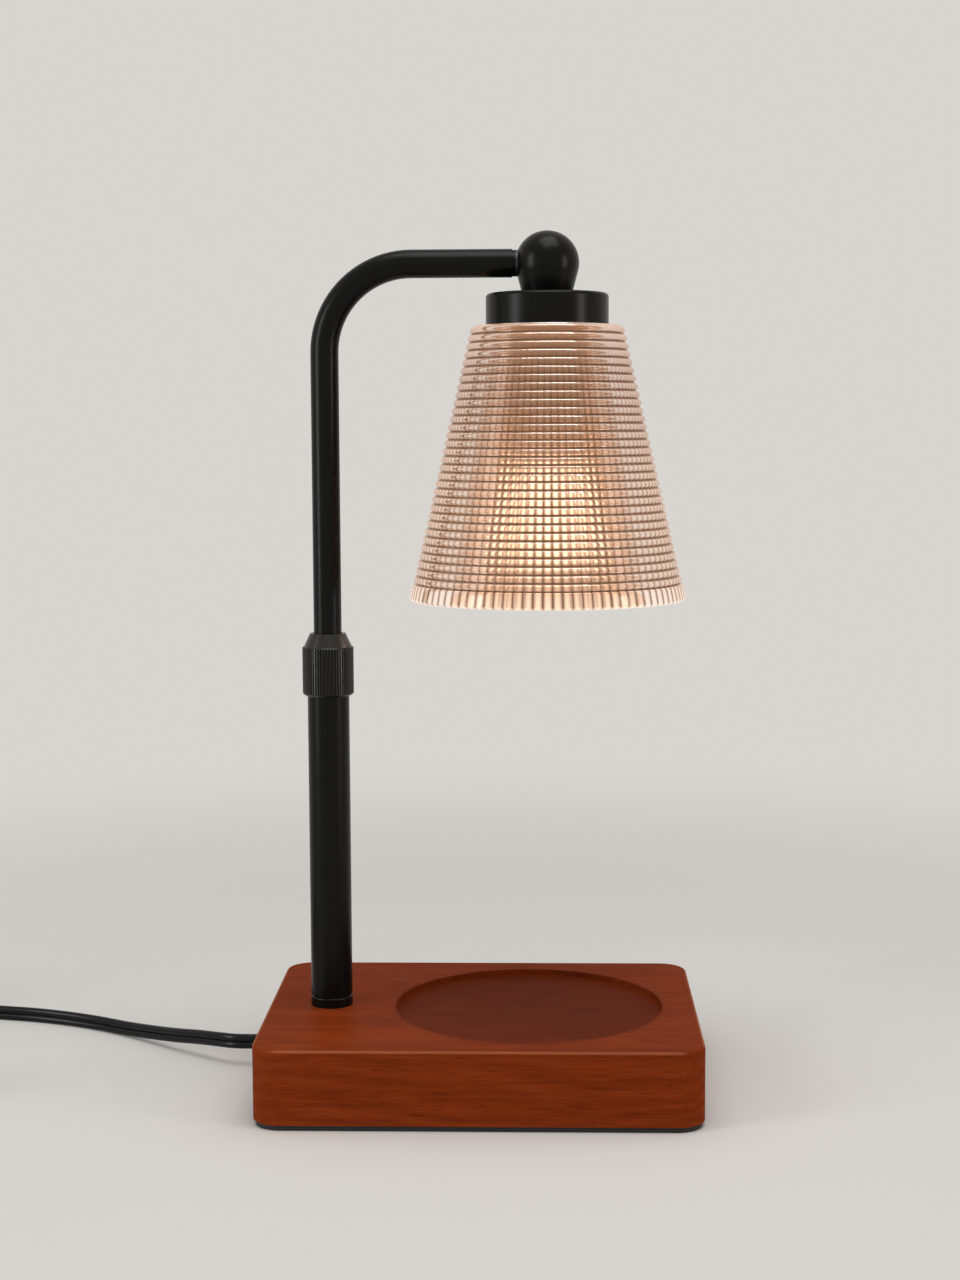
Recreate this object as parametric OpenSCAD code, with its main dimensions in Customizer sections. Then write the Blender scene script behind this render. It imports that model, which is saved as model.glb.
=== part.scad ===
// Candle warmer lamp: a wooden base with a recess for a candle jar, a telescoping post with a
// knurled lock collar, a bent arm, a ball knuckle and a ribbed glass shade over a reflector lamp.
// Millimetres. +Z is up, +X runs from the post to the shade, and the origin is the centre of the
// base's underside.

/* [Base] */
// Width of the wooden block, left to right
base_w = 155; // [148:1:190]
// Depth of the wooden block, front to back
base_d = 118; // [108:1:150]
// Thickness of the wooden block
wood_t = 26; // [24:1:34]
// Thickness of the soft pad under the block
pad_t = 2; // [1:0.5:3]
// How far the pad stays inside the block's outline
pad_inset = 1; // [0.5:0.5:4]
// Corner radius of the block, seen from above
corner_r = 10; // [6:1:16]
// Rounding of the block's top edge
edge_r = 1; // [0.5:0.25:2]
// Diameter of the recess that the candle jar stands in
well_d = 97; // [80:1:100]
// Depth of that recess
well_depth = 2; // [1:0.5:4]
// Distance of the recess's centre to the right of the base's centre
well_x = 17; // [10:1:22]
// Thickness of the steel plate that closes the underside
plate_t = 1.5; // [1:0.25:2]
// Width of wood left between the plate and the outline
plate_margin = 11; // [9:1:16]
// Wood left above the hollow in the underside
ceiling_t = 8; // [6:0.5:10]
// Wood left between that hollow and the block's left face
side_wall = 6; // [5:0.5:10]

/* [Post] */
// Distance of the post's axis to the left of the base's centre
post_offset = 55; // [50:1:58]
// Outside diameter of the lower tube
lower_d = 15; // [14:0.5:18]
// Wall of the lower tube
lower_wall = 1; // [0.8:0.1:1.2]
// Height of the lower tube
lower_len = 114; // [95:1:140]
// Height of the ring at the post's foot
foot_ring_h = 3.9; // [3:0.1:6]
// How far the foot ring stands out beyond the tube
foot_ring_lip = 0.1; // [0.1:0.1:1]
// Length of the threaded plug in the tube's foot
plug_len = 8; // [6:0.5:12]
// Diameter of the hollow threaded studs
stud_d = 10; // [9.8:0.1:10.4]
// Bore of the hollow threaded studs
stud_bore = 7; // [6.6:0.1:7.4]

/* [Lock collar] */
// Diameter of the knurled part
knurl_d = 18.4; // [17.6:0.2:21]
// Height of the knurled part
knurl_h = 17.6; // [16:0.2:22]
// Number of ridges round the collar
knurl_n = 58; // [40:1:72]
// Depth of the knurling
knurl_depth = 0.45; // [0.2:0.05:0.6]
// Height of the collar's conical top
cone_h = 4.8; // [4:0.2:8]
// Diameter at the top of the cone
cone_top_d = 12.8; // [12.6:0.2:15]
// How far the collar's skirt reaches down over the lower tube
skirt_overlap = 4; // [3:0.5:5]
// Number of slots in the clamp sleeve
slot_n = 4; // [2:1:6]
// Width of those slots
slot_w = 1; // [0.6:0.1:1.6]

/* [Arm] */
// Outside diameter of the upper tube
upper_d = 10; // [9.6:0.1:10.2]
// Wall of the upper tube
upper_wall = 1; // [0.8:0.1:1.1]
// Height of the arm's level part above the table
arm_z = 295; // [270:1:330]
// Distance from the post's axis to the shade's axis
reach = 79; // [74:1:92]
// Radius of the bend, at the tube's centre
bend_r = 31; // [22:1:36]
// Height of the upper tube's lower end above the table
arm_foot_z = 85; // [80:1:88]

/* [Knuckle and cap] */
// Diameter of the ball
ball_d = 22.6; // [21:0.2:26]
// Wall of the hollow ball
ball_wall = 3.4; // [3:0.1:3.6]
// Diameter of the ball's conical seat on the cap
seat_d = 17.8; // [16:0.2:20]
// Height of the ball's centre above the cap
ball_drop = 10.6; // [10.2:0.1:12]
// Diameter of the neck between arm and ball
neck_d = 9.3; // [8.2:0.1:9.4]
// Length of the neck's shoulder, without the washer
neck_len = 1.3; // [1:0.1:3]
// Thickness of the friction washer
washer_t = 0.7; // [0.5:0.1:1]
// Diameter of the spindle that the ball turns on
spindle_d = 7.8; // [7.6:0.1:8]
// Bore of the spindle
spindle_bore = 6; // [5.9:0.05:6.2]
// Diameter of the cap
cap_d = 43.4; // [42:0.2:48]
// Height of the cap
cap_h = 11.4; // [11:0.2:16]
// Wall of the cap
cap_wall = 1.5; // [1:0.1:2]
// Rounding of the cap's top edge
cap_edge_r = 1.5; // [1:0.25:3]

/* [Glass shade] */
// Height of the shade
shade_h = 96.7; // [88:0.5:104]
// Diameter over the top rib
shade_top_d = 55; // [52:0.5:60]
// Diameter at the bottom rim
shade_bottom_d = 99; // [90:0.5:110]
// Glass thickness under the ribs
glass_wall = 2.4; // [2.2:0.1:3]
// Number of ribs round the outside
rib_n = 32; // [24:1:36]
// Radius of each rib's round back
rib_r = 1.3; // [1:0.05:1.35]
// How far the ribs stand out
rib_rise = 0.8; // [0.5:0.05:1]
// Height of the plain band at the rim
rim_h = 6; // [4:0.5:10]
// Thickness of the glass at the top
glass_top_t = 3.6; // [3:0.1:5]

/* [Lamp holder and lamp] */
// Outside diameter of the lamp holder
holder_d = 30; // [29:0.5:32]
// Wall of the lamp holder
holder_wall = 1.8; // [1.5:0.1:2.2]
// Length of the lamp holder below the top of the glass
holder_drop = 36; // [32:1:38]
// Diameter of the reflector lamp
lamp_d = 50; // [49:0.5:51]
// Length of the reflector lamp without its pins
lamp_len = 50; // [46:1:52]
// Distance between the lamp's two pins
pin_gap = 10; // [9.8:0.1:10.2]
// Width across the ring that holds the glass
ring_d = 40; // [38:0.5:43]

/* [Mains cord] */
// Width of the flat two-core cord
cord_w = 5.6; // [5.4:0.1:5.8]
// Thickness of the flat two-core cord
cord_t = 2.9; // [2.6:0.1:3]
// Height of the cord's exit above the table
exit_z = 9.25; // [9:0.25:10]
// Distance of the cord's exit behind the base's centre
exit_y = 14; // [12:1:16]
// How far the strain relief stands out of the base
relief_nose = 6.5; // [5:0.5:8]
// Length of the dimmer's case
dimmer_len = 64; // [60:1:64]
// Width of the dimmer's case
dimmer_w = 27; // [25:1:30]
// Height of the dimmer's case
dimmer_h = 20; // [19:0.5:22]
// Diameter of the dimmer's thumbwheel
wheel_d = 19.2; // [18:0.2:19.6]
// Turns of cord in the coil, a quarter past a whole number
coil_turns = 5.25; // [4.25, 5.25, 6.25]
// Radius of the coil's innermost turn, at the cord's centre
coil_inner_r = 27; // [25:0.5:30]
// Distance between turns that lie side by side
coil_pitch = 3.5; // [3.5:0.1:4]
// Distance between the coil's two layers
coil_layer = 6.1; // [6.1:0.1:7]

/* [Fits] */
// Radial clearance of parts that turn or slide in each other
running = 0.05; // [0.03:0.01:0.08]
// Radial clearance of threads, plugs and screws
seat = 0.02; // [0.01:0.01:0.05]
// Clearance between a moving part and what it passes
free_gap = 0.3; // [0.2:0.05:0.5]

/* [Hidden] */
$fn = 64;
// How far a cutter runs past the face that it opens
past = 1;

// Base
base_top = pad_t + wood_t;
plate_w = base_w - 2 * plate_margin;
plate_d = base_d - 2 * plate_margin;
plate_gap = 0.2;
hollow_top = base_top - ceiling_t;
hollow_left = -base_w / 2 + side_wall;
hollow_len = 48;
hollow_w = 58;
hollow_corner_r = 6;
plate_screw_x = plate_w / 2 - 7;
plate_screw_y = plate_d / 2 - 7;
plate_screw_d = 3;
plate_screw_len = 11;
plate_screw_head_d = 5.6;
plate_screw_head_h = 1.3;

// Post
post_x = -post_offset;
lower_r = lower_d / 2;
lower_bore_r = lower_r - lower_wall;
tube_foot_z = base_top + foot_ring_h;
tube_top_z = tube_foot_z + lower_len;
stud_r = stud_d / 2;
stud_bore_r = stud_bore / 2;
washer_r = 10;
post_washer_t = 1.5;
nut_af = 17;
nut_h = 4.5;
stud_foot_z = hollow_top - post_washer_t - nut_h - 0.5;
stud_top_z = tube_foot_z + plug_len;

// Ferrule, clamp sleeve and collar, from the top of the lower tube
flange_t = 1.5;
neck_r = lower_r - 0.5;
neck_h = 10;
ferrule_top_z = tube_top_z + neck_h;
spigot_len = 12;
sleeve_r = 6;
sleeve_foot_z = tube_top_z - 5;
sleeve_head_r = 6.9;
sleeve_head_top_r = 5.9;
sleeve_top_z = ferrule_top_z + 5.2;
slot_foot_z = tube_top_z + 1;
knurl_foot_z = tube_top_z - skirt_overlap;
knurl_top_z = knurl_foot_z + knurl_h;
collar_top_z = knurl_top_z + cone_h;
knurl_chamfer = 0.8;

// Arm
upper_r = upper_d / 2;
upper_bore_r = upper_r - upper_wall;
head_x = post_x + reach;
bend_x = post_x + bend_r;
bend_z = arm_z - bend_r;
bush_len = 10;
bush_lip = 2;

// Knuckle, from the ball's centre towards the arm
ball_r = ball_d / 2;
cavity_r = ball_r - ball_wall;
neck_r2 = neck_d / 2;
ball_flat = sqrt(ball_r * ball_r - neck_r2 * neck_r2) - 0.05;
washer_face = ball_flat + 2 * running;
shoulder_x = head_x - washer_face - washer_t;
arm_end_x = shoulder_x - neck_len;
spindle_r = spindle_d / 2;
spindle_bore_r = spindle_bore / 2;
clip_t = 0.8;
clip_r = spindle_r + 1;
clip_x = head_x - sqrt(cavity_r * cavity_r - clip_r * clip_r) + 0.15;
spindle_end_x = clip_x + clip_t + 1;
arm_plug_len = 8;

// Cap, which carries the glass
seat_r = seat_d / 2;
cap_top = arm_z - ball_drop;
cap_foot = cap_top - cap_h;
cap_ceiling = cap_top - cap_wall;
head_nut_af = 14;
head_nut_h = 2.8;

// Glass shade, measured on the line over the ribs' backs
glass_top = cap_foot;
glass_foot = glass_top - shade_h;
top_rib_z = glass_top - 1.7;
shade_slope = (shade_bottom_d - shade_top_d) / 2 / (top_rib_z - glass_foot);
rib_pitch = (top_rib_z - glass_foot - rim_h) / (rib_n - 0.5);
glass_ceiling = glass_top - glass_top_t;
function over_ribs(z) = shade_top_d / 2 + (top_rib_z - z) * shade_slope;
function under_ribs(z) = over_ribs(z) - rib_rise;
function inner_wall(z) = under_ribs(z) - glass_wall;

// Lamp holder and lamp
holder_r = holder_d / 2;
holder_top = cap_ceiling - head_nut_h - 0.4;
holder_foot = glass_top - holder_drop;
glass_hole_r = holder_r + 0.6;
gasket_t = 1;
ring_h = 3.4;
insert_r = holder_r - holder_wall - seat;
insert_foot = holder_foot + 1;
insert_h = 24;
head_stud_foot = holder_top - 4;
head_stud_top = arm_z - sqrt(cavity_r * cavity_r - stud_r * stud_r) + 0.3;
lamp_back = holder_foot;
lamp_front = lamp_back - lamp_len;
lamp_r = lamp_d / 2;
lamp_neck_r = 13.4;
lamp_neck_z = lamp_back - 14;
lens_t = 2.4;
capsule_z = lamp_front + 14;
capsule_len = 15;
capsule_r = 4.2;
stem_r = 2.6;
stem_seat = 3;
pin_len = 7;
pin_r = 1.5;
pin_head_r = 2.5;
pin_head_h = 2;

// Cord inside the lamp
cord_half_w = cord_w / 2;
cord_half_t = cord_t / 2;
inner_turn_r = exit_y / 2;
inner_rise_r = 6;
inner_turn_x = post_x + 17;
relief_r = 4.5;
relief_tip_r = 3.7;
relief_flange_r = 6.2;
relief_flange_t = 2;
relief_tail = 8;
relief_tip_x = -base_w / 2 - relief_nose;

// Cord on the table: its wide side stands upright, and its lowest edge lies on the table
lie_z = cord_half_w + 0.05;
dimmer_x = -238 - dimmer_len / 2;
dimmer_y = 76;
dimmer_corner_r = 8;
dimmer_wall = 1.8;
split_z = dimmer_h / 2;
dimmer_mid_z = 10;
wheel_z = 12.4;
wheel_w = 6;
wheel_n = 36;
coil_centre = [-296, 10];
coil_outer_r = coil_inner_r + coil_turns / 2 * coil_pitch;
coil_start_deg = 180;
tie_lift = 1.1;
loop_rings = 24;
tie_w = 8;
tie_t = 0.9;

// Route of the cord from the base's left face to the dimmer
lead_route = [
    [-base_w / 2, exit_y, exit_z], [relief_tip_x - 2, exit_y, exit_z], [-93, 14.8, 9.1], [-100, 18.6, 8.6],
    [-108, 24.6, 7.6], [-118, 32.2, 6], [-129, 41.2, 4.4], [-141, 50.4, 3.2], [-154, 58.6, 2.9],
    [-168, 65.2, lie_z], [-183, 70.2, lie_z], [-198, 73.5, lie_z], [-206, 74.9, 3.3], [-213, 75.7, 4.8],
    [-220, 76, 7.3], [-227, dimmer_y, 9.4], [-233, dimmer_y, dimmer_mid_z], [-238, dimmer_y, dimmer_mid_z]
];
// Route from the dimmer to the coil's first turn
coil_edge_x = coil_centre[0] - coil_outer_r;
run_route = [
    [-302, dimmer_y, dimmer_mid_z], [-308, dimmer_y, dimmer_mid_z], [-315.7, 74.5, 9.4], [-322.7, 70.1, 7.6],
    [-328.2, 63.2, 5.2], [-331.8, 54.6, 3.4], [-333, 45, lie_z], [-332.7, 34, lie_z],
    [coil_edge_x, 24, lie_z],
    [coil_edge_x, coil_centre[1] + 6, lie_z]
];
// Route from the coil's last turn to the plug, where the cord turns from upright to flat
tail_z = lie_z + coil_layer;
tail_y = coil_centre[1] - coil_outer_r;
plug_mid_z = 7;
tail_route = [
    [-290, tail_y, tail_z], [-284, tail_y, tail_z], [-275, tail_y, 8.4], [-267, tail_y, 7.5],
    [-260, tail_y, plug_mid_z], [-254, tail_y, plug_mid_z]
];
plug_relief_len = 24;
plug_len_body = 26;
plug_w = 24;
plug_h = 14;
blade_gap = 12.7;
blade_w = 6.35;
blade_t = 1.5;
blade_len = 16;

// ---------- shapes that repeat ----------

// Rectangle with round corners
module round_rect(w, d, r) {
    square([w - 2 * r, d], center = true);
    square([w, d - 2 * r], center = true);
    for (sx = [-1, 1], sy = [-1, 1])
        translate([sx * (w / 2 - r), sy * (d / 2 - r)]) circle(r = r);
}

// Upright section of a block from its middle, x = 0, to its side, with the top edge rounded
function eased_section(x, h, r_edge) = concat(
    [[0, 0], [x, 0]],
    [for (i = [0 : 8]) [x - r_edge + r_edge * cos(i * 11.25), h - r_edge + r_edge * sin(i * 11.25)]],
    [[0, h]]
);

// Block with round corners, and with its top edge rounded to r_edge
module eased_block(w, d, h, r, r_edge) {
    for (side = [0, 180]) rotate(side) {
        rotate([90, 0, 0]) translate([0, 0, r - d / 2]) linear_extrude(d - 2 * r)
            polygon(eased_section(w / 2, h, r_edge));
        rotate(90) rotate([90, 0, 0]) translate([0, 0, r - w / 2]) linear_extrude(w - 2 * r)
            polygon(eased_section(d / 2, h, r_edge));
    }
    for (sx = [-1, 1], sy = [-1, 1])
        translate([sx * (w / 2 - r), sy * (d / 2 - r), 0])
            rotate_extrude() polygon(eased_section(r, h, r_edge));
}

// Tube or ring standing on z = 0
module ring(r_out, r_in, h) {
    difference() {
        cylinder(r = r_out, h = h);
        translate([0, 0, -past]) cylinder(r = r_in, h = h + 2 * past);
    }
}

// Hexagonal nut standing on z = 0
module hex_nut(across, bore_r, h) {
    difference() {
        cylinder(d = across / cos(30), h = h, $fn = 6);
        translate([0, 0, -past]) cylinder(r = bore_r, h = h + 2 * past);
    }
}

// Countersunk screw whose head's face lies on z = 0, pointing up
module countersunk_screw(d, len, head_d, head_h) {
    difference() {
        union() {
            cylinder(r1 = head_d / 2, r2 = d / 2, h = head_h);
            cylinder(d = d, h = len);
        }
        for (a = [0, 90])
            rotate(a) translate([0, 0, 0]) cube([head_d * 0.6, 0.6, 1.4], center = true);
    }
}

// Section of the flat two-core cord, its wide side along Y
module cord_section(extra = 0) {
    square([cord_t + 2 * extra, cord_w - cord_t], center = true);
    for (side = [-1, 1])
        translate([0, side * (cord_half_w - cord_half_t)]) circle(r = cord_half_t + extra, $fn = 32);
}

// Toothed outline: n round-backed ridges on a circle
module ridged_outline(d, n, depth) {
    r_root = d / 2 - depth;
    polygon([
        for (i = [0 : n - 1], k = [0 : 3])
            let (share = [0, 0.28, 0.5, 0.78][k], r = [0, depth, depth, 0][k] + r_root)
            let (a = (i + share) * 360 / n)
            [r * cos(a), r * sin(a)]
    ]);
}

// Sections of a swept cord, as shares of its thickness and its width
section_10 = [
    [0.5, 0.24], [0.36, 0.41], [0, 0.5], [-0.36, 0.41], [-0.5, 0.24],
    [-0.5, -0.24], [-0.36, -0.41], [0, -0.5], [0.36, -0.41], [0.5, -0.24]
];
section_6 = [[0.5, 0.25], [0, 0.5], [-0.5, 0.25], [-0.5, -0.25], [0, -0.5], [0.5, -0.25]];

function unit(v) = v / norm(v);
// Direction of a route at point i
function heading(route, i) =
    unit(route[min(i + 1, len(route) - 1)] - route[max(i - 1, 0)]);
// Points of the section at point i of a route; turn leans the wide side from upright to flat
function ring_at(route, i, section, turn) =
    let (t = i == 0 ? unit(route[1] - route[0]) :
             i == len(route) - 1 ? unit(route[i] - route[i - 1]) : heading(route, i),
         side = unit(cross([0, 0, 1], t)), up = cross(t, side))
    [for (p = section)
        let (a = p[0] * cord_t, b = p[1] * cord_w,
             a2 = a * cos(turn) - b * sin(turn), b2 = a * sin(turn) + b * cos(turn))
        route[i] + a2 * side + b2 * up];

// One polyhedron that follows a route
module swept_cord(route, section, turns) {
    n = len(route);
    m = len(section);
    points = [for (i = [0 : n - 1]) each ring_at(route, i, section, turns[i])];
    sides = [
        for (i = [0 : n - 2], k = [0 : m - 1])
            let (a = i * m + k, b = i * m + (k + 1) % m)
            each [[a, b, b + m], [a, b + m, a + m]]
    ];
    caps = [
        for (k = [1 : m - 2])
            each [[0, k + 1, k], [(n - 1) * m, (n - 1) * m + k, (n - 1) * m + k + 1]]
    ];
    polyhedron(points = points, faces = concat(sides, caps));
}

// ---------- base ----------

module wood_base() {
    color("sienna") difference() {
        translate([0, 0, pad_t]) eased_block(base_w, base_d, wood_t, corner_r, edge_r);
        translate([well_x, 0, base_top - well_depth]) cylinder(d = well_d, h = well_depth + past, $fn = 128);
        translate([0, 0, pad_t - past])
            linear_extrude(plate_t + past)
                round_rect(plate_w + 2 * plate_gap, plate_d + 2 * plate_gap, corner_r);
        translate([hollow_left + hollow_len / 2, 0, pad_t])
            linear_extrude(hollow_top - pad_t) round_rect(hollow_len, hollow_w, hollow_corner_r);
        translate([post_x, 0, hollow_top - past]) cylinder(r = stud_r + free_gap, h = ceiling_t + 2 * past);
        translate([-base_w / 2 - past, exit_y, exit_z])
            rotate([0, 90, 0]) cylinder(r = relief_r + running, h = side_wall + 2 * past);
        for (sx = [-1, 1], sy = [-1, 1])
            translate([sx * plate_screw_x, sy * plate_screw_y, pad_t])
                cylinder(d = plate_screw_d + 2 * seat, h = plate_screw_len + seat);
        translate([inner_clamp_x, clamp_screw_y, hollow_top - past])
            cylinder(d = clamp_screw_d + 2 * seat, h = clamp_screw_bite + past);
    }
}

module base_pad() {
    color("black") linear_extrude(pad_t)
        round_rect(base_w - 2 * pad_inset, base_d - 2 * pad_inset, corner_r - pad_inset);
}

module bottom_plate() {
    color("silver") difference() {
        translate([0, 0, pad_t]) linear_extrude(plate_t) round_rect(plate_w, plate_d, corner_r - plate_gap);
        for (sx = [-1, 1], sy = [-1, 1])
            translate([sx * plate_screw_x, sy * plate_screw_y, pad_t]) {
                cylinder(d1 = plate_screw_head_d + 2 * seat, d2 = plate_screw_d + 2 * seat,
                    h = plate_screw_head_h);
                cylinder(d = plate_screw_d + 2 * seat, h = plate_t + past);
            }
    }
}

module plate_screws() {
    color("silver") for (sx = [-1, 1], sy = [-1, 1])
        translate([sx * plate_screw_x, sy * plate_screw_y, pad_t])
            countersunk_screw(plate_screw_d, plate_screw_len, plate_screw_head_d, plate_screw_head_h);
}

// Clamp that grips the cord under the ceiling of the hollow
inner_clamp_x = post_x + 8;
clamp_len = 8;
clamp_near_y = exit_y - cord_half_t - 1.6;
clamp_far_y = exit_y + 12;
clamp_screw_y = exit_y + 7.5;
clamp_screw_d = 3;
clamp_screw_bite = 5;
clamp_foot_z = exit_z - cord_half_w - 1.6;

module cord_clamp() {
    color("dimgray") difference() {
        translate([inner_clamp_x - clamp_len / 2, clamp_near_y, clamp_foot_z])
            cube([clamp_len, clamp_far_y - clamp_near_y, hollow_top - clamp_foot_z]);
        translate([inner_clamp_x - clamp_len / 2 - past, exit_y, exit_z])
            rotate([0, 90, 0]) rotate(90) linear_extrude(clamp_len + 2 * past) cord_section(running);
        translate([inner_clamp_x, clamp_screw_y, clamp_foot_z - past])
            cylinder(d = clamp_screw_d + 2 * seat, h = hollow_top);
        translate([inner_clamp_x, clamp_screw_y, clamp_foot_z - past])
            cylinder(d = 2 * clamp_screw_d, h = past + 2);
    }
}

module clamp_screw() {
    color("silver") translate([inner_clamp_x, clamp_screw_y, clamp_foot_z + 0.2])
        countersunk_screw(clamp_screw_d, hollow_top + clamp_screw_bite - clamp_foot_z - 0.4, 5.6, 1.7);
}

module strain_relief() {
    color("black") translate([0, exit_y, exit_z]) difference() {
        union() {
            translate([relief_tip_x, 0, 0]) rotate([0, 90, 0])
                cylinder(r1 = relief_tip_r, r2 = relief_r + 0.4, h = relief_nose);
            translate([-base_w / 2, 0, 0]) rotate([0, 90, 0]) cylinder(r = relief_r, h = side_wall);
            translate([hollow_left, 0, 0]) rotate([0, 90, 0])
                cylinder(r = relief_flange_r - 1, h = relief_flange_t);
            translate([hollow_left + relief_flange_t, 0, 0]) rotate([0, 90, 0])
                cylinder(r1 = relief_r, r2 = relief_tip_r, h = relief_tail);
        }
        translate([relief_tip_x - past, 0, 0]) rotate([0, 90, 0]) rotate(90)
            linear_extrude(relief_nose + side_wall + relief_flange_t + relief_tail + 2 * past)
                cord_section(seat);
    }
}

// The cord between the base's left face and the top of the post's stud
module cord_in_base() {
    color("black") {
        // level stretch beside the post, through strain relief and clamp
        translate([-base_w / 2, exit_y, exit_z]) rotate([0, 90, 0]) rotate(90)
            linear_extrude(inner_turn_x + base_w / 2) cord_section();
        // half turn that brings it back under the post
        translate([inner_turn_x, exit_y - inner_turn_r, exit_z]) rotate(-90)
            rotate_extrude(angle = 180) translate([inner_turn_r, 0]) cord_section();
        translate([post_x + inner_rise_r, exit_y - 2 * inner_turn_r, exit_z]) rotate([0, 90, 0]) rotate(90)
            linear_extrude(inner_turn_x - post_x - inner_rise_r) cord_section();
        // quarter turn up into the stud
        translate([post_x + inner_rise_r, 0, exit_z + inner_rise_r]) rotate([90, 0, 0]) rotate(180)
            rotate_extrude(angle = 90) translate([inner_rise_r, 0]) rotate(90) cord_section();
        translate([post_x, 0, exit_z + inner_rise_r])
            linear_extrude(stud_top_z - exit_z - inner_rise_r) rotate(90) cord_section();
    }
}

module cord_in_post() {
    color("black") translate([post_x, 0, stud_top_z])
        linear_extrude(arm_foot_z - bush_lip - stud_top_z) cord_section();
}

// ---------- post ----------

module foot_ring() {
    color("black") translate([post_x, 0, base_top]) difference() {
        rotate_extrude() polygon([
            [stud_r + free_gap, 0], [lower_r + foot_ring_lip, 0],
            [lower_r + foot_ring_lip, foot_ring_h - 0.8], [lower_r, foot_ring_h - 0.5],
            [lower_r - 0.5, foot_ring_h],
            [stud_r + free_gap, foot_ring_h]
        ]);
    }
}

module lower_tube() {
    color("black") translate([post_x, 0, tube_foot_z]) ring(lower_r, lower_bore_r, lower_len);
}

module tube_plug() {
    color("silver") translate([post_x, 0, tube_foot_z]) ring(lower_bore_r - seat, stud_r + seat, plug_len);
}

module post_stud() {
    color("silver") translate([post_x, 0, stud_foot_z]) ring(stud_r, stud_bore_r, stud_top_z - stud_foot_z);
}

module post_washer() {
    color("silver") translate([post_x, 0, hollow_top - post_washer_t])
        ring(washer_r, stud_r + seat, post_washer_t);
}

module post_nut() {
    color("silver") translate([post_x, 0, hollow_top - post_washer_t - nut_h])
        hex_nut(nut_af, stud_r + seat, nut_h);
}

// Ferrule in the top of the lower tube: spigot, flange, and the neck that the collar screws on
module tube_ferrule() {
    color("silver") translate([post_x, 0, 0]) rotate_extrude() polygon([
        [upper_r + free_gap, tube_top_z - spigot_len], [lower_bore_r - seat, tube_top_z - spigot_len],
        [lower_bore_r - seat, tube_top_z], [lower_r - 0.1, tube_top_z],
        [lower_r - 0.1, tube_top_z + flange_t], [neck_r, tube_top_z + flange_t],
        [neck_r, ferrule_top_z], [sleeve_r + running, ferrule_top_z],
        [sleeve_r + running, sleeve_foot_z - 0.1], [upper_r + free_gap, sleeve_foot_z - 0.1]
    ]);
}

// Split sleeve: the collar's cone presses its fingers on the upper tube
module clamp_sleeve() {
    color("white") translate([post_x, 0, 0]) difference() {
        rotate_extrude() polygon([
            [upper_r + running, sleeve_foot_z], [sleeve_r, sleeve_foot_z],
            [sleeve_r, ferrule_top_z + 0.2], [sleeve_head_r, ferrule_top_z + 0.2],
            [sleeve_head_r, ferrule_top_z + 1], [sleeve_head_top_r, sleeve_top_z],
            [upper_r + running, sleeve_top_z]
        ]);
        for (i = [0 : slot_n - 1])
            rotate(i * 360 / slot_n) translate([0, -slot_w / 2, slot_foot_z])
                cube([sleeve_head_r + past, slot_w, sleeve_top_z - slot_foot_z + past]);
    }
}

module lock_collar() {
    color("black") translate([post_x, 0, 0]) difference() {
        union() {
            intersection() {
                translate([0, 0, knurl_foot_z]) linear_extrude(knurl_h)
                    ridged_outline(knurl_d, knurl_n, knurl_depth);
                translate([0, 0, knurl_foot_z]) rotate_extrude() polygon([
                    [0, 0], [knurl_d / 2 - knurl_chamfer, 0], [knurl_d / 2 + 0.1, knurl_chamfer + 0.1],
                    [knurl_d / 2 + 0.1, knurl_h - 0.5], [knurl_d / 2 - 0.4, knurl_h], [0, knurl_h]
                ]);
            }
            translate([0, 0, knurl_top_z])
                cylinder(r1 = knurl_d / 2 - knurl_depth - 0.1, r2 = cone_top_d / 2, h = cone_h);
        }
        // skirt over the tube, thread on the neck, cone on the sleeve, hole for the upper tube
        rotate_extrude() polygon([
            [0, knurl_foot_z - past], [lower_r + running, knurl_foot_z - past],
            [lower_r + running, tube_top_z + flange_t + 0.2],
            [neck_r + running, tube_top_z + flange_t + 0.2],
            [neck_r + running, ferrule_top_z + 1.2], [sleeve_head_top_r + 0.15, sleeve_top_z + 0.3],
            [upper_r + free_gap, sleeve_top_z + 0.3], [upper_r + free_gap, collar_top_z + past],
            [0, collar_top_z + past]
        ]);
    }
}

// ---------- arm ----------

// Solid of the bent tube's path at radius r
module bent_path(r) {
    translate([post_x, 0, arm_foot_z]) cylinder(r = r, h = bend_z - arm_foot_z);
    translate([bend_x, 0, bend_z]) rotate([90, 0, 0]) rotate(90)
        rotate_extrude(angle = 90) translate([bend_r, 0]) circle(r = r);
    translate([bend_x, 0, arm_z]) rotate([0, 90, 0]) cylinder(r = r, h = arm_end_x - bend_x);
}

module arm_tube() {
    color("black") difference() {
        bent_path(upper_r);
        union() {
            bent_path(upper_bore_r);
            translate([post_x, 0, arm_foot_z - past]) cylinder(r = upper_bore_r, h = 2 * past);
            translate([arm_end_x - past, 0, arm_z]) rotate([0, 90, 0])
                cylinder(r = upper_bore_r, h = 2 * past);
        }
    }
}

// Bush on the tube's lower end, which slides in the lower tube
module guide_bush() {
    color("white") translate([post_x, 0, 0]) rotate_extrude() polygon([
        [stud_bore_r, arm_foot_z - bush_lip], [lower_bore_r - running, arm_foot_z - bush_lip],
        [lower_bore_r - running, arm_foot_z + bush_len - bush_lip],
        [upper_r + seat, arm_foot_z + bush_len - bush_lip], [upper_r + seat, arm_foot_z],
        [stud_bore_r, arm_foot_z]
    ]);
}

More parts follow.
